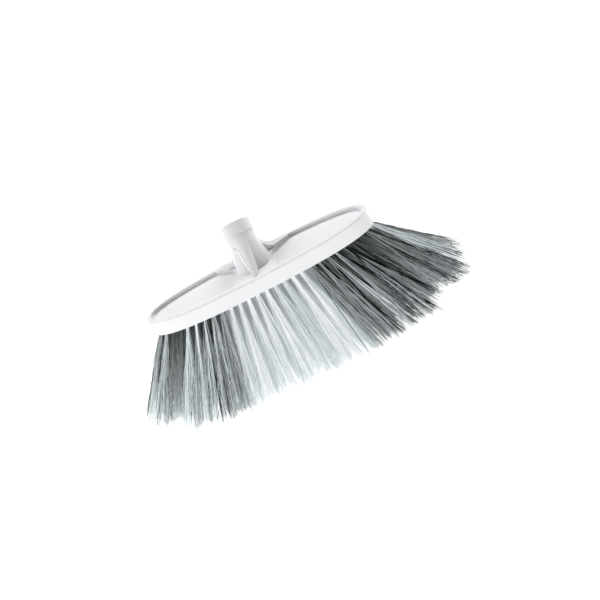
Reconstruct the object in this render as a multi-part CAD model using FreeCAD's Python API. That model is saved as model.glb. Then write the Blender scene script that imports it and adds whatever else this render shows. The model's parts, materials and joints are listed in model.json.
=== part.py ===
"""Head of a household floor broom, in millimetres.

A moulded block carries a tilted socket for a handle on top, and five straight rows of bristle
tufts underneath. Each tuft is a bundle of filament that is folded over a small metal strip, the
anchor, and pushed into its own blind hole. The tufts fan out towards both ends and towards the
front and the back, and all their tips are trimmed to one level plane.

The origin lies in that plane, below the middle of the block. +X runs along the block, +Y is the
back, the side that the socket leans to, and +Z is up. Every row of free bristle bends forward and
back about a line just under the block, so a tuft is two solids: the root, held in the block, and
the free length, whose round top is centred on that line.
"""
import FreeCAD, Part
import math
import os

Vector = FreeCAD.Vector
UP = Vector(0, 0, 1)

# Block
BLOCK_HALF_LENGTH = 120.0
BLOCK_HALF_WIDTH = 24.5
OUTLINE_POWER = 2.6          # power of the superellipse that the block follows in plan
OUTLINE_POINTS = 48
BLOCK_THICKNESS = 16.5
SKIRT_DRAFT = 1.2            # how far the underside stands out past the top
RIM_WIDTH = 4.6
PANEL_DEPTH = 4.0            # depth of the two recessed panels in the top
# Right-hand side of the saddle, the flat middle between the panels: (x, y) from front to back
SADDLE_SIDE = [(27, -24), (21.5, -17), (19, -9), (18.6, -1), (21, 6), (27, 11), (35, 15.5), (46, 24)]
TOP_EDGE_RADIUS = 1.4
PANEL_FLOOR_RADIUS = 1.2

# Bristles
FREE_HEIGHT = 91.0           # from the trimmed tips up to the block's underside
TUFT_PITCH = 9.45
ROW_PITCH = 8.5
ROW_COUNTS = [19, 24, 25, 24, 19]
WHITE_HALF_LENGTH = 44.0     # tufts nearer to the middle than this are white
HOLE_RADIUS = 2.3
HOLE_DEPTH = 9.0
ROOT_RADIUS = 2.25
TIP_RADIUS = 4.9
FLEX_GAP = 0.3               # between a root's end and the round top of its free length
END_FAN_DEG = 37.0           # sideways lean of a tuft at the very end of the block
FAN_POWER = 0.8
EDGE_ROW_LEAN_DEG = 27.5     # forward lean of row 1, and backward lean of row 5
LEAN_LOSS = 0.3              # part of that lean which is gone at a row's two ends

# Anchors: one flat strip across the fold of each tuft, whose ends bite into the hole's wall
ANCHOR_WIDTH = 5.2
ANCHOR_HEIGHT = 2.0
ANCHOR_THICKNESS = 0.5
ANCHOR_COVER = 1.2           # bristle between the anchor and the bottom of the hole

# Handle socket: distances along its axis are measured from the block's top
SOCKET_TILT_DEG = 39.0       # from vertical, towards the back
MOUTH_AT = 43.5
COLLAR_AT = 31.5
SLEEVE_AT = 21.5             # where the pedestal ends and the plain round sleeve starts
COLLAR_RADIUS = 16.2
SLEEVE_RADIUS = 14.8
BORE_RADIUS = 11.0
BORE_DEPTH = 28.0
MOUTH_CHAMFER = 0.8
SUNK = 0.8                   # overlap of the socket's parts with the block and with each other

# Pedestal: leans up from a squarish foot on the block to the sleeve's full round
PEDESTAL_HEAD_HALF = (14.4, 14.4)
PEDESTAL_FOOT_HALF = (18.4, 15.0)
PEDESTAL_FOOT_POWER = 3.0
PEDESTAL_FOOT_Y = 2.5

# Keel: stands out in front of the pedestal, wide below the collar and slim at the front rim
KEEL_HEAD_HALF = (13.6, 15.6)    # across, and towards the front
KEEL_FOOT_HALF = (3.4, 12.6)
KEEL_FOOT_Y = -9.8

# Web: an upright plate across the block behind the pedestal, which spreads at its feet
WEB_FRONT_Y = 10.0
WEB_THICKNESS = 7.0
WEB_EDGE = [(13.6, 18), (17.4, 8.5), (22, 4), (30, 1.8), (38, 0.3)]   # (x, height over the block)

# Crease: a groove from the front rim up the keel's left side, hooked back under the sleeve
CREASE_PATH = [(-0.4, -21.2, 0.5), (-4.7, -0.2, 22.4), (-7.8, 3.2, 23.0)]   # (x, y, height over block)
CREASE_RADIUS = 1.1

UNDERSIDE_Z = FREE_HEIGHT
TOP_Z = UNDERSIDE_Z + BLOCK_THICKNESS
PIVOT_Z = UNDERSIDE_Z - FLEX_GAP - ROOT_RADIUS
ROW_YS = [(row - 2) * ROW_PITCH for row in range(5)]
SECTIONS = ["left", "middle", "right"]


def superellipse(half_x, half_y, z, power=OUTLINE_POWER):
    """Closed smooth wire where |x/half_x|^power + |y/half_y|^power = 1, at height z."""
    points = []
    for step in range(OUTLINE_POINTS):
        turn = 2 * math.pi * step / OUTLINE_POINTS
        cosine, sine = math.cos(turn), math.sin(turn)
        x = half_x * math.copysign(abs(cosine) ** (2 / power), cosine)
        y = half_y * math.copysign(abs(sine) ** (2 / power), sine)
        points.append(Vector(x, y, z))
    curve = Part.BSplineCurve()
    curve.interpolate(points, PeriodicFlag=True)
    return Part.Wire(curve.toShape())


def edges_at(shape, z, tolerance=0.01):
    """The edges of a shape that lie wholly at one height."""
    return [edge for edge in shape.Edges
            if abs(edge.BoundBox.ZMin - z) < tolerance and abs(edge.BoundBox.ZMax - z) < tolerance]


def plain_block():
    """The block's drafted oval, with its upper edge rounded."""
    low = superellipse(BLOCK_HALF_LENGTH + SKIRT_DRAFT, BLOCK_HALF_WIDTH + SKIRT_DRAFT, UNDERSIDE_Z)
    high = superellipse(BLOCK_HALF_LENGTH, BLOCK_HALF_WIDTH, TOP_Z)
    block = Part.makeLoft([low, high], True, True)
    return block.makeFillet(TOP_EDGE_RADIUS, edges_at(block, TOP_Z))


def saddle():
    """The flat middle of the top, narrow in front and spreading backwards, as a tall prism."""
    height = 60
    sides = []
    for hand in (1, -1):
        curve = Part.BSplineCurve()
        curve.interpolate([Vector(hand * x, y, 0) for x, y in SADDLE_SIDE])
        sides.append(curve.toShape())
    (front_x, front_y), (back_x, back_y) = SADDLE_SIDE[0], SADDLE_SIDE[-1]
    front = Part.makeLine(Vector(-front_x, front_y, 0), Vector(front_x, front_y, 0))
    back = Part.makeLine(Vector(-back_x, back_y, 0), Vector(back_x, back_y, 0))
    face = Part.Face(Part.Wire(Part.__sortEdges__(sides + [front, back])))
    face.translate(Vector(0, 0, TOP_Z - height / 2))
    return face.extrude(UP * height)


def panel_recesses():
    """The pockets of the two recessed panels: the rim's inner oval without the saddle."""
    floor_z = TOP_Z - PANEL_DEPTH
    oval = Part.Face(superellipse(BLOCK_HALF_LENGTH - RIM_WIDTH, BLOCK_HALF_WIDTH - RIM_WIDTH, floor_z))
    pockets = oval.extrude(UP * (PANEL_DEPTH + 5)).cut(saddle())
    return Part.makeCompound([pocket.makeFillet(PANEL_FLOOR_RADIUS, edges_at(pocket, floor_z))
                              for pocket in pockets.Solids])


def socket_axis():
    tilt = math.radians(SOCKET_TILT_DEG)
    return Vector(0, math.sin(tilt), math.cos(tilt))


def along_socket(distance):
    return Vector(0, 0, TOP_Z) + socket_axis() * distance


def skin(foot, head, distance):
    """A solid whose ruled side joins an oval on the block to an oval square to the socket's axis."""
    foot.translate(Vector(0, 0, TOP_Z - SUNK))
    head.rotate(Vector(0, 0, 0), Vector(1, 0, 0), -SOCKET_TILT_DEG)
    head.translate(along_socket(distance))
    return Part.makeLoft([foot, head], True, True)


def pedestal():
    foot = superellipse(*PEDESTAL_FOOT_HALF, 0, PEDESTAL_FOOT_POWER)
    foot.translate(Vector(0, PEDESTAL_FOOT_Y, 0))
    return skin(foot, superellipse(*PEDESTAL_HEAD_HALF, 0, power=2), SLEEVE_AT + SUNK)


def keel():
    foot = superellipse(*KEEL_FOOT_HALF, 0, power=2)
    foot.translate(Vector(0, KEEL_FOOT_Y, 0))
    return skin(foot, superellipse(*KEEL_HEAD_HALF, 0, power=2), COLLAR_AT + SUNK)


def web():
    """The upright plate across the block, whose hollow-curved edges run down to feet on the saddle."""
    sunk = -PANEL_DEPTH
    curves = []
    for hand in (1, -1):
        curve = Part.BSplineCurve()
        curve.interpolate([Vector(hand * x, 0, z) for x, z in WEB_EDGE])
        curves.append(curve.toShape())
    (top_x, top_z), (foot_x, foot_z) = WEB_EDGE[0], WEB_EDGE[-1]
    straight = Part.makePolygon([Vector(foot_x, 0, foot_z), Vector(foot_x, 0, sunk),
                                 Vector(-foot_x, 0, sunk), Vector(-foot_x, 0, foot_z)])
    top = Part.makeLine(Vector(top_x, 0, top_z), Vector(-top_x, 0, top_z))
    face = Part.Face(Part.Wire(Part.__sortEdges__(curves + straight.Edges + [top])))
    plate = face.extrude(Vector(0, WEB_THICKNESS, 0))
    plate.translate(Vector(0, WEB_FRONT_Y, TOP_Z))
    return plate.common(saddle())


def along_axis_cylinder(radius, start, end):
    return Part.makeCylinder(radius, end - start, along_socket(start), socket_axis())


def socket_outside():
    """Collar, sleeve, pedestal, keel and web."""
    collar = along_axis_cylinder(COLLAR_RADIUS, COLLAR_AT, MOUTH_AT)
    sleeve = along_axis_cylinder(SLEEVE_RADIUS, SLEEVE_AT, MOUTH_AT)
    return collar.multiFuse([sleeve, pedestal(), keel(), web()])


def socket_bore():
    """The round hole for the handle's end, with a small lead-in at the mouth."""
    bore = along_axis_cylinder(BORE_RADIUS, MOUTH_AT - BORE_DEPTH, MOUTH_AT + 1)
    lead_in = Part.makeCone(BORE_RADIUS, BORE_RADIUS + MOUTH_CHAMFER, MOUTH_CHAMFER,
                            along_socket(MOUTH_AT - MOUTH_CHAMFER), socket_axis())
    return bore.fuse(lead_in)


def crease():
    """Round bars along the crease's path, with a ball at each corner, to cut the groove with."""
    corners = [Vector(x, y, TOP_Z + height) for x, y, height in CREASE_PATH]
    bars = [Part.makeCylinder(CREASE_RADIUS, (b - a).Length, a, b - a) for a, b in zip(corners, corners[1:])]
    balls = [Part.makeSphere(CREASE_RADIUS, corner) for corner in corners]
    return bars[0].multiFuse(bars[1:] + balls)


def tuft_xs(count):
    return [(index - (count - 1) / 2) * TUFT_PITCH for index in range(count)]


def section_of(x):
    if abs(x) < WHITE_HALF_LENGTH:
        return "middle"
    return "left" if x < 0 else "right"


def tuft_holes():
    holes = []
    for y, count in zip(ROW_YS, ROW_COUNTS):
        for x in tuft_xs(count):
            holes.append(Part.makeCylinder(HOLE_RADIUS, HOLE_DEPTH, Vector(x, y, UNDERSIDE_Z)))
    return Part.makeCompound(holes)


def make_block():
    block = plain_block().cut(panel_recesses())
    block = block.fuse(socket_outside()).cut(socket_bore()).cut(crease())
    return block.removeSplitter().cut(tuft_holes())


def make_anchor(x, y):
    low = UNDERSIDE_Z + HOLE_DEPTH - ANCHOR_COVER - ANCHOR_HEIGHT
    corner = Vector(x - ANCHOR_WIDTH / 2, y - ANCHOR_THICKNESS / 2, low)
    return Part.makeBox(ANCHOR_WIDTH, ANCHOR_THICKNESS, ANCHOR_HEIGHT, corner)


def make_root(x, y):
    root = Part.makeCylinder(ROOT_RADIUS, HOLE_DEPTH, Vector(x, y, UNDERSIDE_Z))
    return root.cut(make_anchor(x, y))


def tuft_direction(x, y, row_end):
    """Downwards, leaning to the side with x and forward or back with y, less so at a row's ends."""
    fan = math.radians(END_FAN_DEG) * (abs(x) / BLOCK_HALF_LENGTH) ** FAN_POWER
    lean = math.radians(EDGE_ROW_LEAN_DEG) * y / (2 * ROW_PITCH)
    lean *= 1 - LEAN_LOSS * (abs(x) / row_end) ** 3
    return Vector(math.copysign(math.tan(fan), x), math.tan(lean), -1)


def make_free_tuft(x, y, row_end):
    """A slim cone below a round top, turned to the tuft's direction and trimmed level at z = 0."""
    direction = tuft_direction(x, y, row_end)
    length = PIVOT_Z * direction.Length
    overrun = 1.2
    growth = (TIP_RADIUS - ROOT_RADIUS) * overrun
    dome_middle = Vector(ROOT_RADIUS * math.sin(math.pi / 4), 0, ROOT_RADIUS * math.cos(math.pi / 4))
    dome = Part.Arc(Vector(0, 0, ROOT_RADIUS), dome_middle, Vector(ROOT_RADIUS, 0, 0)).toShape()
    outer = Vector(ROOT_RADIUS + growth, 0, -length * overrun)
    side = Part.makePolygon([Vector(ROOT_RADIUS, 0, 0), outer, Vector(0, 0, -length * overrun),
                             Vector(0, 0, ROOT_RADIUS)])
    profile = Part.Face(Part.Wire([dome] + side.Edges))
    tuft = profile.revolve(Vector(0, 0, 0), UP, 360)
    tuft.Placement = FreeCAD.Placement(Vector(x, y, PIVOT_Z), FreeCAD.Rotation(-UP, direction))
    above_floor = Part.makeBox(500, 300, 150, Vector(-250, -150, 0))
    return tuft.common(above_floor).Solids[0]


def export(name, solids):
    shape = solids[0] if len(solids) == 1 else Part.makeCompound(solids)
    assert shape.isValid(), name
    shape.exportStep("parts/" + name + ".step")
    print(name, len(solids), "solids", round(sum(solid.Volume for solid in solids), 1), "mm3")


def main():
    os.makedirs("parts", exist_ok=True)
    export("block", make_block().Solids)
    for row, (y, count) in enumerate(zip(ROW_YS, ROW_COUNTS), start=1):
        xs = tuft_xs(count)
        export(f"row_{row}_anchors", [make_anchor(x, y) for x in xs])
        for section in SECTIONS:
            here = [x for x in xs if section_of(x) == section]
            export(f"row_{row}_roots_{section}", [make_root(x, y) for x in here])
            export(f"row_{row}_bristles_{section}", [make_free_tuft(x, y, xs[-1]) for x in here])


main()
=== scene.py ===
# %% [markdown]
# # A floor broom's head
#
# This lesson dresses the head of a household broom: a white moulded block with a tilted socket
# for the handle, and five rows of bristle tufts, grey at the two ends and white in the middle.
# The first cell loads the finished CAD model as a fixed frame. The new bristles are placed from
# that frame's own joints, so they line up with the rows that bend.

# %% Load the frame
import json
import math

import bpy
import numpy as np
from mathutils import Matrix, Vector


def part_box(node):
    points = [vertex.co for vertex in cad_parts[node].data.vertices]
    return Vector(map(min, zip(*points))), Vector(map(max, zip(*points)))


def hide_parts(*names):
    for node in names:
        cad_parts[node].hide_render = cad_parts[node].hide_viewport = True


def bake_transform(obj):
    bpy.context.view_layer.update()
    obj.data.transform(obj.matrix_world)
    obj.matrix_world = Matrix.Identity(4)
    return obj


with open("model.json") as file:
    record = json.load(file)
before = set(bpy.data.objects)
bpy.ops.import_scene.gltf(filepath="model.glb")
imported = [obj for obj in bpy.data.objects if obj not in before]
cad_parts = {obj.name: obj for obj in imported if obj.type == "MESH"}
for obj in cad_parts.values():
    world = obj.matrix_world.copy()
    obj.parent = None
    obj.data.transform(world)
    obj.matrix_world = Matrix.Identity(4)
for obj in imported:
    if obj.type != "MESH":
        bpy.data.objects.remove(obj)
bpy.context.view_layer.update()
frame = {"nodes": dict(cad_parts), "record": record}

nodes = frame["nodes"]
joints = {joint["name"]: joint for joint in frame["record"]["behaviour"]["joints"]}

# %% Measure the block
MM = 0.001
PIVOT_DROP = 2.55 * MM       # from the block's underside down to the lines that the rows bend about
BLOCK_THICKNESS = 16.5 * MM
block_low, block_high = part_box("block")
underside = joints["row_3_flex"]["pos_m"][2] + PIVOT_DROP
block_top = underside + BLOCK_THICKNESS
print("block from", block_low, "to", block_high)
print("underside", round(underside, 4), "top", round(block_top, 4))

# %% [markdown]
# ## Camera
#
# The head is seen from the front, a little to its right and from above, and the camera is rolled,
# so the block rises to the right across the picture. The camera's three axes are worked out from
# azimuth, elevation and roll, as a turntable and a tilting tripod head would set them.

# %% Place the camera
CAMERA_AZIMUTH = math.radians(12)
CAMERA_ELEVATION = math.radians(36)
CAMERA_ROLL = math.radians(33.95)
CAMERA_DISTANCE = 0.9606
CAMERA_LENS, SENSOR_WIDTH = 60, 36       # both in millimetres, as Blender's camera takes them
AIM_RIGHT, AIM_UP = 0.0446, -0.0346      # from the block's top to the middle of the picture


def camera_axes(azimuth, elevation, roll):
    """Right, up and back axes: a level camera on a sphere, then turned about its line of sight."""
    back = np.array([math.sin(azimuth) * math.cos(elevation),
                     -math.cos(azimuth) * math.cos(elevation), math.sin(elevation)])
    level = np.array([math.cos(azimuth), math.sin(azimuth), 0.0])
    upward = np.cross(back, level)
    right = level * math.cos(roll) - upward * math.sin(roll)
    up = level * math.sin(roll) + upward * math.cos(roll)
    return right, up, back


right, up, back = camera_axes(CAMERA_AZIMUTH, CAMERA_ELEVATION, CAMERA_ROLL)
aim = np.array([0, 0, block_top]) + right * AIM_RIGHT + up * AIM_UP
camera = bpy.data.objects.new("camera", bpy.data.cameras.new("camera"))
camera.data.lens = CAMERA_LENS
camera.data.sensor_width = SENSOR_WIDTH
turn = np.eye(4)
turn[:3, :3] = np.stack([right, up, back], axis=1)
turn[:3, 3] = aim + back * CAMERA_DISTANCE
camera.matrix_world = turn.T
bpy.context.collection.objects.link(camera)
bpy.context.scene.camera = camera
print("camera at", [round(value, 3) for value in camera.location])

# %% [markdown]
# ## Mesh helper
#
# The floor and all the bristles are points and faces that are worked out as arrays, so one small
# helper turns such arrays into a mesh object.

# %% Make a mesh from arrays


def mesh_object(name, corners, quads, smooth=True):
    """A mesh object from an array of points (n, 3) and an array of faces (m, 3 or 4)."""
    mesh = bpy.data.meshes.new(name)
    sides = quads.shape[1]
    mesh.vertices.add(len(corners))
    mesh.vertices.foreach_set("co", corners.astype(np.float32).ravel())
    mesh.loops.add(quads.size)
    mesh.loops.foreach_set("vertex_index", quads.astype(np.int32).ravel())
    mesh.polygons.add(len(quads))
    mesh.polygons.foreach_set("loop_start", np.arange(0, quads.size, sides, dtype=np.int32))
    mesh.update(calc_edges=True)
    mesh.polygons.foreach_set("use_smooth", np.full(len(quads), smooth))
    thing = bpy.data.objects.new(name, mesh)
    bpy.context.collection.objects.link(thing)
    return thing


# %% [markdown]
# ## Floor and light
#
# The head stands on a large pale floor that glows a little, like the sheet of a light table, so it
# also lights the block's skirt from below. Two broad lamps stand behind the head, one on the left
# and one on the right, so the socket's round front is darker than its sides. A low lamp in front on
# the left rakes across the tufts, which lights one side of each and leaves the gap beside it dark.
# The sky lights the head only faintly, but the camera sees it as pale as the floor. The standard
# view keeps white white.

# %% Floor
FLOOR_HALF = 6.0
FLOOR_DROP = 0.3 * MM        # below the bristles' tips, so that the two don't meet
FLOOR_GLOW = 1.1
floor_corners = np.array([[-1, -1, 0], [1, -1, 0], [1, 1, 0], [-1, 1, 0]]) * FLOOR_HALF
floor_corners[:, 2] = -FLOOR_DROP
floor = mesh_object("floor", floor_corners, np.array([[0, 1, 2, 3]]), smooth=False)


def new_material(name):
    """An empty node material with its Principled shader."""
    material = bpy.data.materials.new(name)
    material.use_nodes = True
    return material, material.node_tree.nodes, material.node_tree.links


floor_paint, floor_nodes, floor_links = new_material("floor_paint")
floor_shader = floor_nodes["Principled BSDF"]
floor_shader.inputs["Base Color"].default_value = (0.6, 0.6, 0.6, 1)
floor_shader.inputs["Roughness"].default_value = 0.9
floor_shader.inputs["Emission Color"].default_value = (1, 1, 1, 1)
floor_shader.inputs["Emission Strength"].default_value = FLOOR_GLOW
floor.data.materials.append(floor_paint)
print("floor", FLOOR_HALF * 2, "m wide")

# %% Lamps and sky
SKY_LIGHT, SKY_SEEN = 0.08, 1.05


def sun_lamp(name, towards, angle, strength):
    """A sun whose light arrives from a direction, as if from a panel that wide in angle."""
    lamp = bpy.data.objects.new(name, bpy.data.lights.new(name, "SUN"))
    lamp.data.angle = angle
    lamp.data.energy = strength
    away = np.array(towards, float) / np.linalg.norm(towards)
    side = np.cross([0, 0, 1], away)
    side /= np.linalg.norm(side)
    turn = np.eye(4)
    turn[:3, :3] = np.stack([side, np.cross(away, side), away], axis=1)
    lamp.matrix_world = turn.T
    bpy.context.collection.objects.link(lamp)
    return lamp


sun_lamp("key", (-0.46, 0.40, 0.79), math.radians(45), 1.75)
sun_lamp("fill", (0.50, 0.40, 0.77), math.radians(40), 2.05)
sun_lamp("rake", (-0.82, -0.56, 0.08), math.radians(20), 1.65)
sky = bpy.data.worlds.new("sky")
sky.use_nodes = True
sky.node_tree.nodes["Background"].inputs["Color"].default_value = (0.98, 0.99, 1.0, 1)
ray = sky.node_tree.nodes.new("ShaderNodeLightPath")
strength = sky.node_tree.nodes.new("ShaderNodeMapRange")
strength.inputs["To Min"].default_value = SKY_LIGHT
strength.inputs["To Max"].default_value = SKY_SEEN
sky.node_tree.links.new(ray.outputs["Is Camera Ray"], strength.inputs["Value"])
sky.node_tree.links.new(strength.outputs["Result"],
                        sky.node_tree.nodes["Background"].inputs["Strength"])
bpy.context.scene.world = sky
bpy.context.scene.view_settings.view_transform = "Standard"

# %% [markdown]
# ## White moulded plastic
#
# The block is polypropylene straight from the mould: white, satin, with a very fine grain and a
# faint unevenness in its gloss. Both come from noise on object coordinates, one coarse and one
# fine, which a group mixes so that other finishes can use them as well.

# %% The grain group


def grain_group():
    """Group: coarse noise mottles the roughness, fine noise gives a height for a bump."""
    group = bpy.data.node_groups.new("moulded_grain", "ShaderNodeTree")
    for name, kind in (("Scale", "NodeSocketFloat"), ("Roughness", "NodeSocketFloat"),
                       ("Mottle", "NodeSocketFloat")):
        group.interface.new_socket(name, in_out="INPUT", socket_type=kind)
    for name in ("Roughness", "Height"):
        group.interface.new_socket(name, in_out="OUTPUT", socket_type="NodeSocketFloat")
    inside, tree = group.nodes, group.links
    entry, leave = inside.new("NodeGroupInput"), inside.new("NodeGroupOutput")
    place = inside.new("ShaderNodeTexCoord")
    fine, coarse = inside.new("ShaderNodeTexNoise"), inside.new("ShaderNodeTexNoise")
    coarse.inputs["Scale"].default_value = 60
    coarse.inputs["Detail"].default_value = 3
    fine.inputs["Detail"].default_value = 2
    mottle, total = inside.new("ShaderNodeMath"), inside.new("ShaderNodeMath")
    centred = inside.new("ShaderNodeMath")
    centred.operation, centred.inputs[1].default_value = "SUBTRACT", 0.5
    mottle.operation, total.operation = "MULTIPLY", "ADD"
    tree.new(place.outputs["Object"], fine.inputs["Vector"])
    tree.new(place.outputs["Object"], coarse.inputs["Vector"])
    tree.new(entry.outputs["Scale"], fine.inputs["Scale"])
    tree.new(coarse.outputs["Fac"], centred.inputs[0])
    tree.new(centred.outputs[0], mottle.inputs[0])
    tree.new(entry.outputs["Mottle"], mottle.inputs[1])
    tree.new(entry.outputs["Roughness"], total.inputs[0])
    tree.new(mottle.outputs[0], total.inputs[1])
    tree.new(total.outputs[0], leave.inputs["Roughness"])
    tree.new(fine.outputs["Fac"], leave.inputs["Height"])
    return group


grain = grain_group()


def add_grain(material, scale, roughness, mottle, bump, depth):
    """Places the grain group in a material and feeds its roughness and a bump of that depth."""
    parts, links = material.node_tree.nodes, material.node_tree.links
    shader = parts["Principled BSDF"]
    use = parts.new("ShaderNodeGroup")
    use.node_tree = grain
    use.inputs["Scale"].default_value = scale
    use.inputs["Roughness"].default_value = roughness
    use.inputs["Mottle"].default_value = mottle
    relief = parts.new("ShaderNodeBump")
    relief.inputs["Strength"].default_value = bump
    relief.inputs["Distance"].default_value = depth
    links.new(use.outputs["Roughness"], shader.inputs["Roughness"])
    links.new(use.outputs["Height"], relief.inputs["Height"])
    links.new(relief.outputs["Normal"], shader.inputs["Normal"])
    return use


print("group", grain.name, "with", len(grain.nodes), "nodes")

# %% Paint the block
white_plastic, parts, links = new_material("white_plastic")
shader = parts["Principled BSDF"]
shader.inputs["Base Color"].default_value = (0.83, 0.83, 0.845, 1)
shader.inputs["Specular IOR Level"].default_value = 0.45
add_grain(white_plastic, scale=2600, roughness=0.38, mottle=0.12, bump=0.25, depth=0.05 * MM)


def repaint(node, material):
    """Gives a CAD node one new material."""
    thing = nodes[node]
    thing.data.materials.clear()
    thing.data.materials.append(material)


repaint("block", white_plastic)
print("block has", len(nodes["block"].data.polygons), "faces")

# %% [markdown]
# ## Anchors
#
# A strip of plain steel holds each tuft's fold. It is cut from wire stock, so its finish is a
# dull brushed grey, and the same grain group serves at a coarser scale.

# %% Paint the anchors
anchor_steel, parts, links = new_material("anchor_steel")
parts["Principled BSDF"].inputs["Base Color"].default_value = (0.55, 0.55, 0.56, 1)
parts["Principled BSDF"].inputs["Metallic"].default_value = 1
add_grain(anchor_steel, scale=900, roughness=0.42, mottle=0.3, bump=0.2, depth=0.03 * MM)
for row in range(1, 6):
    repaint(f"row_{row}_anchors", anchor_steel)
print("anchors painted in 5 rows")

# %% [markdown]
# ## Bristles
#
# A tuft isn't a cone: it is a bundle of more than a hundred plastic filaments that leave one hole
# close together and part as they go. They don't part evenly. Crimped filaments cling in locks,
# so each tuft here is a set of locks, and each lock has its own path, shade and slight wave, which
# its filaments follow with a little freedom of their own. All of it is one array of points:
# tuft, lock, filament, ring along the filament, corner of the ring, and x, y, z.

# %% Where the tufts stand
TUFT_PITCH = 9.45 * MM
ROW_COUNTS = [19, 24, 25, 24, 19]
WHITE_HALF = 44 * MM                # tufts nearer to the middle than this are white
END_FAN = math.radians(37)          # sideways lean at the very end of the block
FAN_POWER = 0.8
EDGE_LEAN = math.radians(27.5)      # forward lean of row 1, and backward lean of row 5
LEAN_LOSS = 0.3
row_ys = [joints[f"row_{row}_flex"]["pos_m"][1] for row in range(1, 6)]
BLOCK_HALF = 120 * MM


def tuft_places(row, section):
    """Root x of every tuft of one row that belongs to the left, middle or right section."""
    count = ROW_COUNTS[row - 1]
    xs = (np.arange(count) - (count - 1) / 2) * TUFT_PITCH
    if section == "middle":
        return xs[np.abs(xs) < WHITE_HALF]
    return xs[xs <= -WHITE_HALF] if section == "left" else xs[xs >= WHITE_HALF]


def tuft_slopes(xs, y, row_end):
    """Sideways and forward run per unit of drop.

    The fan angle grows with a power of x. The lean grows with y, and falls by LEAN_LOSS of itself
    towards the row's ends, as the cube of x over the x of the end.
    """
    fan = END_FAN * (np.abs(xs) / BLOCK_HALF) ** FAN_POWER
    lean = EDGE_LEAN * y / row_ys[-1] * (1 - LEAN_LOSS * (np.abs(xs) / row_end) ** 3)
    return np.sign(xs) * np.tan(fan), np.tan(lean)


print("tufts", sum(ROW_COUNTS), "in rows at", row_ys)

# %% Grow the filaments of some tufts
LOCKS = 20                       # in a tuft
PER_LOCK = 9                     # filaments in a lock
RINGS = 11                       # along a filament
SIDES = 3                        # corners of a ring
ROOT_SPREAD = 1.5 * MM           # reach of the locks from the tuft's middle at the root
OWN_SPREAD = 0.75 * MM           # reach of a filament from its lock's middle there
TIP_SPREAD_X = 9.0 * MM          # reach of the locks at the tips, along the row
TIP_SPREAD_IN = 14.0 * MM        # towards the middle of the brush
TIP_SPREAD_OUT = 5.5 * MM        # away from it
DRIFT = 0.6                      # how far a lock strays from its place at the root, in such reaches
PART_POWER = 1.1
LOCK_SPREAD = 1.6 * MM
STRAYS, STRAY_SPREAD = 0.3, 3.0  # share of filaments that stray from their lock, and how much more
SPREAD_LIMIT = 1.7
END_SPLAY = 0.3                  # extra spread of the end tufts
RAGGED = 2.4 * MM                # the most that a tip ends above the floor
LOCK_WAVE, LOCK_TURN = 0.9 * MM, 5.2
CRIMP, CRIMP_TURN = 0.32 * MM, 19
LOCK_SHADE, OWN_SHADE = 0.46, 0.2
FILAMENT_RADIUS = 0.27 * MM
HOLE_PART = 6.0 * MM             # length inside the hole
# The next two set the painted shade at the roots: how far along a filament it fades, and how much
# of it the end tufts of the inner rows get.
PAINTED_SHADE_REACH = 1.05               # share of the length over which the darkening fades
END_TUFT_PAINTED_SHADE = 0.35


def disc(random, shape, radius):
    """Points spread evenly over a disc: the root of a random number gives the radius."""
    reach = radius * np.sqrt(random.random(shape))
    angle = 2 * math.pi * random.random(shape)
    return reach * np.cos(angle), reach * np.sin(angle)


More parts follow.
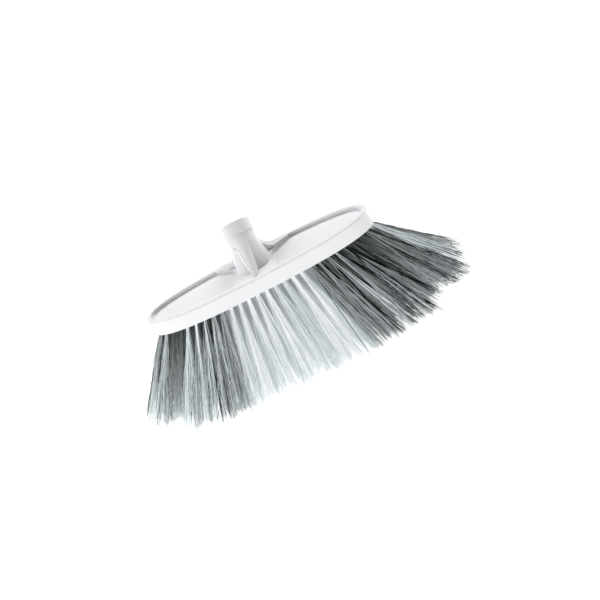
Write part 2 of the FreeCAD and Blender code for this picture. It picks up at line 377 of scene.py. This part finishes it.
def filament_paths(random, xs, y, row_end):
    """Centre lines (tuft, lock, filament, ring, 3) and a step of shade for each filament.

    A filament starts in its hole, drops straight to the mouth, and then runs to its tip. Its place
    across the bundle moves from a small disc at the root to about the same place in a wide oval at
    the tip, so that filaments seldom cross. It does so by the fraction of the drop to a power above
    one, which keeps the bundle narrow at first. A long wave for the lock and a short one for the
    filament's crimp are added, and both fade in from the root. The shade is a lighter or darker
    step from the mean: one for the whole lock, and a smaller one for the filament.
    """
    tufts = len(xs)
    per_lock, each = (tufts, LOCKS, 1), (tufts, LOCKS, PER_LOCK)
    slope_x, slope_y = tuft_slopes(xs, y, row_end)
    side = np.sign(y)
    lock_x, lock_y = disc(random, per_lock, 1.0)
    own_rx, own_ry = disc(random, each, OWN_SPREAD)
    drift_x, drift_y = disc(random, per_lock, DRIFT)
    lock_tx, lock_ty = lock_x + drift_x, lock_y + drift_y
    outward = np.where(lock_ty * side > 0, TIP_SPREAD_OUT, TIP_SPREAD_IN) if side else TIP_SPREAD_IN
    stray = LOCK_SPREAD * np.where(random.random(each) < STRAYS, STRAY_SPREAD, 1.0)
    own_tx, own_ty = stray * np.clip(random.normal(0, 1, (2,) + each), -SPREAD_LIMIT, SPREAD_LIMIT)
    splay = 1 + END_SPLAY * (np.abs(xs) / row_end)[:, None, None] ** 4
    tip_x = (lock_tx * TIP_SPREAD_X + own_tx) * splay
    tip_y = (lock_ty * outward + own_ty) * splay
    tip_z = RAGGED * (0.3 * random.random(per_lock) ** 2 + 0.7 * random.random(each) ** 2)

    fall = np.linspace(0, 1, RINGS - 1)
    part = fall ** PART_POWER
    drop = (underside - tip_z)[..., None] * fall
    fade = np.sin(math.pi * np.minimum(fall * 0.75, 0.5))
    lock_wave = LOCK_WAVE * random.normal(0, 1, (2,) + per_lock + (1,))
    lock_phase = random.random((2,) + per_lock + (1,)) * 2 * math.pi
    crimp = CRIMP * random.normal(0, 1, (2,) + each + (1,))
    crimp_phase = random.random((2,) + each + (1,)) * 2 * math.pi
    wave = lock_wave * np.sin(LOCK_TURN * fall + lock_phase)
    wave = (wave + crimp * np.sin(CRIMP_TURN * fall + crimp_phase)) * fade

    root_x = xs[:, None, None] + ROOT_SPREAD * lock_x + own_rx
    root_y = y + ROOT_SPREAD * lock_y + own_ry
    lean_x, lean_y = slope_x[:, None, None, None] * drop, slope_y[:, None, None, None] * drop
    x = root_x[..., None] + lean_x + tip_x[..., None] * part + wave[0]
    y_line = root_y[..., None] + lean_y + tip_y[..., None] * part + wave[1]
    z = underside - drop
    first = np.stack([root_x, root_y, np.full(each, underside + HOLE_PART)], axis=-1)
    line = np.concatenate([first[..., None, :], np.stack([x, y_line, z], axis=-1)], axis=3)
    shade = LOCK_SHADE * random.normal(0, 1, per_lock) + OWN_SHADE * random.normal(0, 1, each)
    return line, shade


def tubes(line, radii):
    """Skins centre lines (..., ring, 3) with thin prisms whose rings lie level, at those radii."""
    count = line.shape[-2]
    lines = line.reshape(-1, count, 3)
    angle = np.arange(SIDES) * 2 * math.pi / SIDES
    ring = np.stack([np.cos(angle), -np.sin(angle), np.zeros(SIDES)], axis=-1)
    corners = lines[:, :, None, :] + ring * radii[None, :, None, None]
    start = (np.arange(len(lines)) * count * SIDES)[:, None, None]
    level = (np.arange(count - 1) * SIDES)[None, :, None]
    a = np.arange(SIDES)[None, None, :]
    b = (a + 1) % SIDES
    low = start + level
    quads = np.stack([low + a, low + b, low + SIDES + b, low + SIDES + a], axis=-1)
    return corners.reshape(-1, 3), quads.reshape(-1, 4)


def painted_root_shade(line, xs, y, row_end):
    """How deep each filament's root lies among the others: 0 in the open, 1 inside the brush.

    This is painted shade. The inner rows are covered, apart from the tuft at each end. In an outer
    row the painted shade falls as a root stands farther out from its tuft's middle, and grows with
    the square of its distance to the side, because the gap between two tufts lies in shade.
    """
    if abs(y) < row_ys[-1] * 0.9:
        depth = np.where(np.abs(xs) > row_end - TUFT_PITCH / 2, END_TUFT_PAINTED_SHADE, 1.0)
        return np.broadcast_to(depth[:, None, None], line.shape[:3])
    outward = (line[..., 1, 1] - y) * np.sign(y) / ROOT_SPREAD
    sideways = (line[..., 1, 0] - xs[:, None, None]) / ROOT_SPREAD
    return np.clip(0.2 - 0.5 * outward + 0.7 * sideways ** 2, 0, 1)


def grow(name, random, xs, y, row_end, tone_with_painted_light):
    """One piece: all the filaments of some tufts, with shade and painted shade attributes on its
    points.
    """
    line, shade = filament_paths(random, xs, y, row_end)
    # The tone of a grey section carries painted light: lighter on the left, darker on the right.
    shade = np.clip(tone_with_painted_light + shade, 0, 1)
    taper = np.interp(np.linspace(0, 1, RINGS), [0, 0.8, 1], [1, 0.9, 0.45])
    corners, quads = tubes(line, FILAMENT_RADIUS * taper)
    piece = mesh_object(name, corners, quads)
    each = np.broadcast_to(shade.reshape(-1, 1, 1), (shade.size, RINGS, SIDES)).ravel()
    # Painted shade at the roots, fading along each filament.
    fade = np.clip(1 - np.linspace(0, 1, RINGS) / PAINTED_SHADE_REACH, 0, 1)[None, :, None]
    painted_shade = painted_root_shade(line, xs, y, row_end).reshape(-1, 1, 1) * fade
    painted_shade = np.broadcast_to(painted_shade, (shade.size, RINGS, SIDES)).ravel()
    for label, values in (("shade", each), ("painted_shade", painted_shade)):
        layer = piece.data.attributes.new(label, "FLOAT", "POINT")
        layer.data.foreach_set("value", values.astype(np.float32))
    return piece


# %% [markdown]
# ## Filament finish
#
# Bristle is coloured right through, but it lets light pass, and no two filaments have quite the
# same shade. Roots deep in the brush get little light, and painted shade darkens them. The group
# below turns the two attributes into a colour, for grey and white alike. Light filament also passes
# light on from its neighbours, which a little emission of its own colour stands for, as painted
# light.

# %% The filament group


def filament_group():
    """Group: mixes a dark and a light colour by the shade, and paints shade where a root is
    covered.
    """
    group = bpy.data.node_groups.new("filament_colour", "ShaderNodeTree")
    for name, kind in (("Dark", "NodeSocketColor"), ("Light", "NodeSocketColor"),
                       ("PaintedRootShade", "NodeSocketFloat")):
        group.interface.new_socket(name, in_out="INPUT", socket_type=kind)
    group.interface.new_socket("Color", in_out="OUTPUT", socket_type="NodeSocketColor")
    inside, tree = group.nodes, group.links
    entry, leave = inside.new("NodeGroupInput"), inside.new("NodeGroupOutput")
    shade, painted_shade = inside.new("ShaderNodeAttribute"), inside.new("ShaderNodeAttribute")
    shade.attribute_name, painted_shade.attribute_name = "shade", "painted_shade"
    mix, darker = inside.new("ShaderNodeMix"), inside.new("ShaderNodeMix")
    for node in (mix, darker):
        node.data_type = "RGBA"
    darker.blend_type = "MULTIPLY"
    darker.inputs["Factor"].default_value = 1
    # Painted shade: covered roots are dimmed, down to the group's root input.
    dim = inside.new("ShaderNodeMapRange")
    dim.inputs["To Min"].default_value = 1
    tree.new(shade.outputs["Fac"], mix.inputs["Factor"])
    tree.new(entry.outputs["Dark"], mix.inputs["A"])
    tree.new(entry.outputs["Light"], mix.inputs["B"])
    tree.new(painted_shade.outputs["Fac"], dim.inputs["Value"])
    tree.new(entry.outputs["PaintedRootShade"], dim.inputs["To Max"])
    tree.new(mix.outputs["Result"], darker.inputs["A"])
    tree.new(dim.outputs["Result"], darker.inputs["B"])
    tree.new(darker.outputs["Result"], leave.inputs["Color"])
    return group


filament = filament_group()


def bristle_material(name, dark, light, painted_root_dim, painted_glow):
    """A bristle plastic: the filament group's colour on a satin shader that glows a little, as
    painted light.
    """
    material, parts, links = new_material(name)
    shader = parts["Principled BSDF"]
    shader.inputs["Roughness"].default_value = 0.5
    shader.inputs["Specular IOR Level"].default_value = 0.12
    use = parts.new("ShaderNodeGroup")
    use.node_tree = filament
    use.inputs["Dark"].default_value = dark
    use.inputs["Light"].default_value = light
    # How dark the painted shade makes a fully covered root.
    use.inputs["PaintedRootShade"].default_value = painted_root_dim
    links.new(use.outputs["Color"], shader.inputs["Base Color"])
    links.new(use.outputs["Color"], shader.inputs["Emission Color"])
    # Painted light: the bristles glow by emission, standing for light that they pass on.
    shader.inputs["Emission Strength"].default_value = painted_glow
    return material


# Grey roots take a near-black painted shade, white roots a milder one.
grey_bristle = bristle_material("grey_bristle", dark=(0.006, 0.009, 0.010, 1),
                                light=(0.80, 0.86, 0.87, 1), painted_root_dim=0.005, painted_glow=0.30)
white_bristle = bristle_material("white_bristle", dark=(0.60, 0.65, 0.67, 1),
                                 light=(0.95, 0.965, 0.97, 1), painted_root_dim=0.6, painted_glow=0.27)
print("bristle finishes", grey_bristle.name, white_bristle.name)

# %% Grow every row
# Both ends are the same grey: the left's lighter mean is painted light and the right's darker mean
# painted shade.
TONES_WITH_PAINTED_LIGHT = {"left": 0.66, "middle": 0.5, "right": 0.4}      # mean shade: 0 is dark and 1 is light
random = np.random.default_rng(7)
filaments = 0
for row in range(1, 6):
    y = row_ys[row - 1]
    row_end = (ROW_COUNTS[row - 1] - 1) / 2 * TUFT_PITCH
    for section in ("left", "middle", "right"):
        xs = tuft_places(row, section)
        piece = grow(f"bristles_{row}_{section}", random, xs, y, row_end, TONES_WITH_PAINTED_LIGHT[section])
        white = section == "middle"
        piece.data.materials.append(white_bristle if white else grey_bristle)
        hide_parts(f"row_{row}_bristles_{section}", f"row_{row}_roots_{section}")
        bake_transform(piece)
        filaments += len(xs) * LOCKS * PER_LOCK
print("grew", filaments, "filaments")
